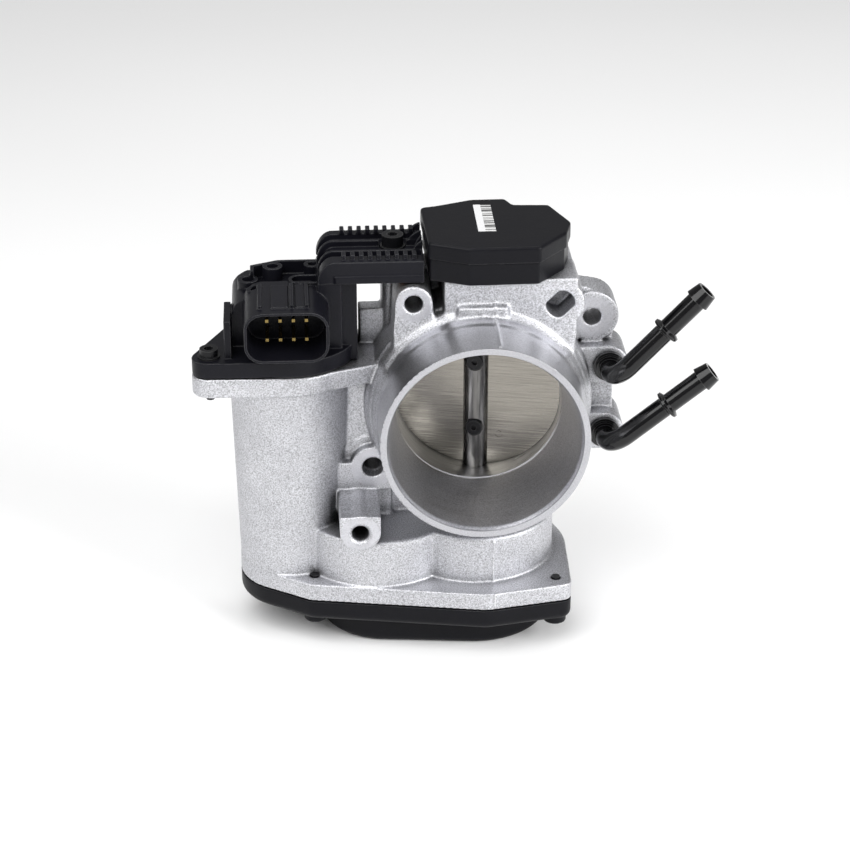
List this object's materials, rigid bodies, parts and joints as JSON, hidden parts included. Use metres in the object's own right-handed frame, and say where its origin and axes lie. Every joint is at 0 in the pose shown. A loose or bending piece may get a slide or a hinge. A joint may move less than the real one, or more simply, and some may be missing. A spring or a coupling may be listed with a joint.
{
  "type": "throttle body",
  "caption": "Electronic throttle body: cast housing with round bore and plate, upright motor, geared drive case, position sensor, multi-pin socket and bent coolant pipes.",
  "frame": {"origin": "bore centre in the manifold joint face", "axes": "+Y along the bore towards the manifold, +Z along the throttle shaft towards the position sensor, +X away from the motor"},
  "size_m": [0.2042, 0.0863, 0.1697],
  "materials": {
    "cast_aluminium": "fine sand-blasted die casting with machined faces",
    "brushed_plate": "brushed, slightly warm",
    "steel": "ground",
    "bearing_steel": "polished",
    "spring_steel": "drawn wire",
    "zinc_steel": "bright zinc plate",
    "black_oxide": "black oxide",
    "seal_rubber": "moulded, matt",
    "gear_plastic": "moulded nylon",
    "natural_plastic": "moulded",
    "cover_plastic": "glass-filled, fine grain",
    "connector_plastic": "moulded, satin",
    "sensor_plastic": "moulded, satin",
    "pipe_black": "gloss black coat over steel tube",
    "brass": "turned",
    "copper": "stamped copper",
    "tin_brass": "tin plated",
    "pin_gold": "plated",
    "ferrite": "sintered",
    "lamination": "stamped stack",
    "carbon": "pressed carbon",
    "board": "solder-masked laminate",
    "label": "printed bars only"
  },
  "bodies": {
    "housing": {"body_casting": "cast_aluminium", "upper_needle_bearing": "bearing_steel", "lower_bearing_outer_race": "bearing_steel", "lower_bearing_balls": "bearing_steel", "shaft_seals": "seal_rubber", "intermediate_pin": "steel", "return_spring": "spring_steel", "closed_stop_screw": "zinc_steel", "gear_cover_gasket": "seal_rubber", "gear_cover": "cover_plastic", "gear_cover_screws": "black_oxide", "motor_can": "zinc_steel", "motor_magnets": "ferrite", "motor_brushes": "carbon", "motor_end_plate": "natural_plastic", "motor_terminals": "tin_brass", "motor_screws": "zinc_steel", "motor_wave_washer": "spring_steel", "connector_seal": "seal_rubber", "connector_housing": "connector_plastic", "connector_pins": "pin_gold", "connector_screws": "black_oxide", "harness_bridge": "connector_plastic", "bridge_screw": "black_oxide", "harness_leads": "copper", "sensor_base": "sensor_plastic", "sensor_cover": "sensor_plastic", "sensor_circuit_board": "board", "sensor_screws": "zinc_steel", "sensor_label": "label", "coolant_pipe_upper": "pipe_black", "coolant_pipe_lower": "pipe_black", "gallery_plug": "zinc_steel"},
    "throttle": {"throttle_plate": "brushed_plate", "throttle_shaft": "steel", "plate_screws": "black_oxide", "shaft_retaining_ring": "spring_steel", "lower_bearing_inner_race": "bearing_steel", "sector_gear": "gear_plastic", "spring_bush": "natural_plastic", "sensor_magnet_rotor": "ferrite"},
    "intermediate": {"intermediate_gear": "gear_plastic"},
    "motor_rotor": {"motor_shaft": "steel", "motor_pinion": "brass", "motor_armature": "lamination", "motor_commutator": "copper"}
  },
  "joints": [
    {"name": "throttle_turn", "type": "hinge", "parent": "housing", "child": "throttle", "pos_m": [0, -0.0175, 0], "axis": [0, 0, -1], "range_deg": [0, 78], "deforming": ["return_spring"]},
    {"name": "intermediate_turn", "type": "hinge", "parent": "housing", "child": "intermediate", "pos_m": [-0.039, -0.0175, 0], "axis": [0, 0, -1], "range_deg": [-176, 0.5]},
    {"name": "motor_turn", "type": "hinge", "parent": "housing", "child": "motor_rotor", "pos_m": [-0.073, -0.0175, 0], "axis": [0, 0, -1], "range_deg": [-0.5, 820]}
  ],
  "couplings": [
    {"joint": "intermediate_turn", "follows": "throttle_turn", "ratio": -2.25},
    {"joint": "motor_turn", "follows": "throttle_turn", "ratio": 10.5}
  ]
}
